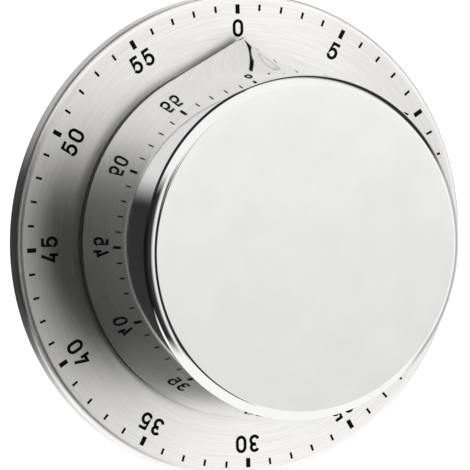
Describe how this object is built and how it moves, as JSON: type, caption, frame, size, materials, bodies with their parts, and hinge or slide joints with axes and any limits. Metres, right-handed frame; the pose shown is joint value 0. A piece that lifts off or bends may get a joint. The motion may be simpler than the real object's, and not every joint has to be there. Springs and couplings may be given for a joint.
{
  "type": "kitchen timer",
  "caption": "Round kitchen timer: a brushed steel dial with a minute scale, a tall polished pointer knob over a wind-up movement and bell, on a magnetic back.",
  "frame": {"origin": "centre of the back face, on the surface that the timer rests on", "axes": "+Z out of the dial, +Y towards the zero mark, +X towards the quarter-hour mark"},
  "size_m": [0.075, 0.075, 0.0276],
  "materials": {
    "brushed_stainless": "circular brushed stainless steel",
    "polished_stainless": "mirror polished stainless steel",
    "black_plastic": "moulded matt black ABS",
    "scale_print": "black printed ink of the dial's scale",
    "ferrite": "ground ferrite",
    "zinc_steel": "bright zinc plated steel",
    "rolled_brass": "rolled and pressed brass",
    "nickel_steel": "nickel plated pressed steel",
    "spring_steel": "blued spring steel",
    "turned_steel": "turned steel"
  },
  "bodies": {
    "base": {"dial_plate": "brushed_stainless", "back_cover": "black_plastic", "magnet": "ferrite", "base_screws": "zinc_steel", "dust_collar": "black_plastic", "lower_plate": "rolled_brass", "upper_plate": "rolled_brass", "movement_pillars": "turned_steel", "pillar_nuts": "zinc_steel", "stop_pin": "turned_steel", "mainspring": "spring_steel", "spring_post": "turned_steel", "bell": "nickel_steel", "bell_post": "turned_steel", "bell_nut": "zinc_steel", "hammer_spring": "spring_steel"},
    "knob": {"knob_shell": "polished_stainless", "knob_carrier": "black_plastic", "main_arbor": "turned_steel", "ratchet_wheel": "turned_steel", "trip_cam": "rolled_brass"},
    "drive": {"great_wheel": "rolled_brass", "click_rivet": "turned_steel", "click_spring": "spring_steel"},
    "pawl": {"click": "turned_steel"},
    "second_shaft": {"second_arbor": "turned_steel", "second_wheel": "rolled_brass"},
    "third_shaft": {"third_arbor": "turned_steel", "third_wheel": "rolled_brass"},
    "escape_shaft": {"escape_arbor": "turned_steel", "escape_wheel": "rolled_brass"},
    "balance": {"balance_arbor": "turned_steel", "pallet_anchor": "turned_steel", "pallet_pins": "turned_steel", "balance_wheel": "rolled_brass"},
    "hammer": {"hammer_arbor": "turned_steel", "hammer_lever": "turned_steel", "hammer_arm": "turned_steel", "hammer_head": "turned_steel"}
  },
  "joints": [
    {"name": "knob_turn", "type": "hinge", "parent": "base", "child": "knob", "pos_m": [0, 0, 0.004], "axis": [0, 0, -1], "range_deg": [0, 348], "deforming": ["mainspring"]},
    {"name": "great_wheel_turn", "type": "hinge", "parent": "base", "child": "drive", "pos_m": [0, 0, 0.0088], "axis": [0, 0, -1], "continuous": true},
    {"name": "second_turn", "type": "hinge", "parent": "base", "child": "second_shaft", "pos_m": [0.01215, 0, 0.01015], "axis": [0, 0, -1], "continuous": true},
    {"name": "third_turn", "type": "hinge", "parent": "base", "child": "third_shaft", "pos_m": [0.00839, 0.00927, 0.01015], "axis": [0, 0, -1], "continuous": true},
    {"name": "escape_turn", "type": "hinge", "parent": "base", "child": "escape_shaft", "pos_m": [0.00095, 0.01397, 0.01015], "axis": [0, 0, -1], "continuous": true},
    {"name": "balance_swing", "type": "hinge", "parent": "base", "child": "balance", "pos_m": [-0.00658, 0.01236, 0.01015], "axis": [0, 0, 1], "range_deg": [-8, 8]},
    {"name": "hammer_swing", "type": "hinge", "parent": "base", "child": "hammer", "pos_m": [-0.00742, -0.01187, 0.01015], "axis": [0, 0, 1], "range_deg": [0, 12], "stiffness_Nm_per_rad": 0.002, "deforming": ["hammer_spring"]},
    {"name": "click_swing", "type": "hinge", "parent": "drive", "child": "pawl", "pos_m": [-0.00658, 0.0038, 0.0099], "axis": [0, 0, 1], "range_deg": [0, 12], "stiffness_Nm_per_rad": 0.0005, "deforming": ["click_spring"]}
  ],
  "couplings": [
    {"joint": "great_wheel_turn", "follows": "knob_turn", "ratio": 1},
    {"joint": "second_turn", "follows": "knob_turn", "ratio": -8},
    {"joint": "third_turn", "follows": "knob_turn", "ratio": 56},
    {"joint": "escape_turn", "follows": "knob_turn", "ratio": -392}
  ]
}
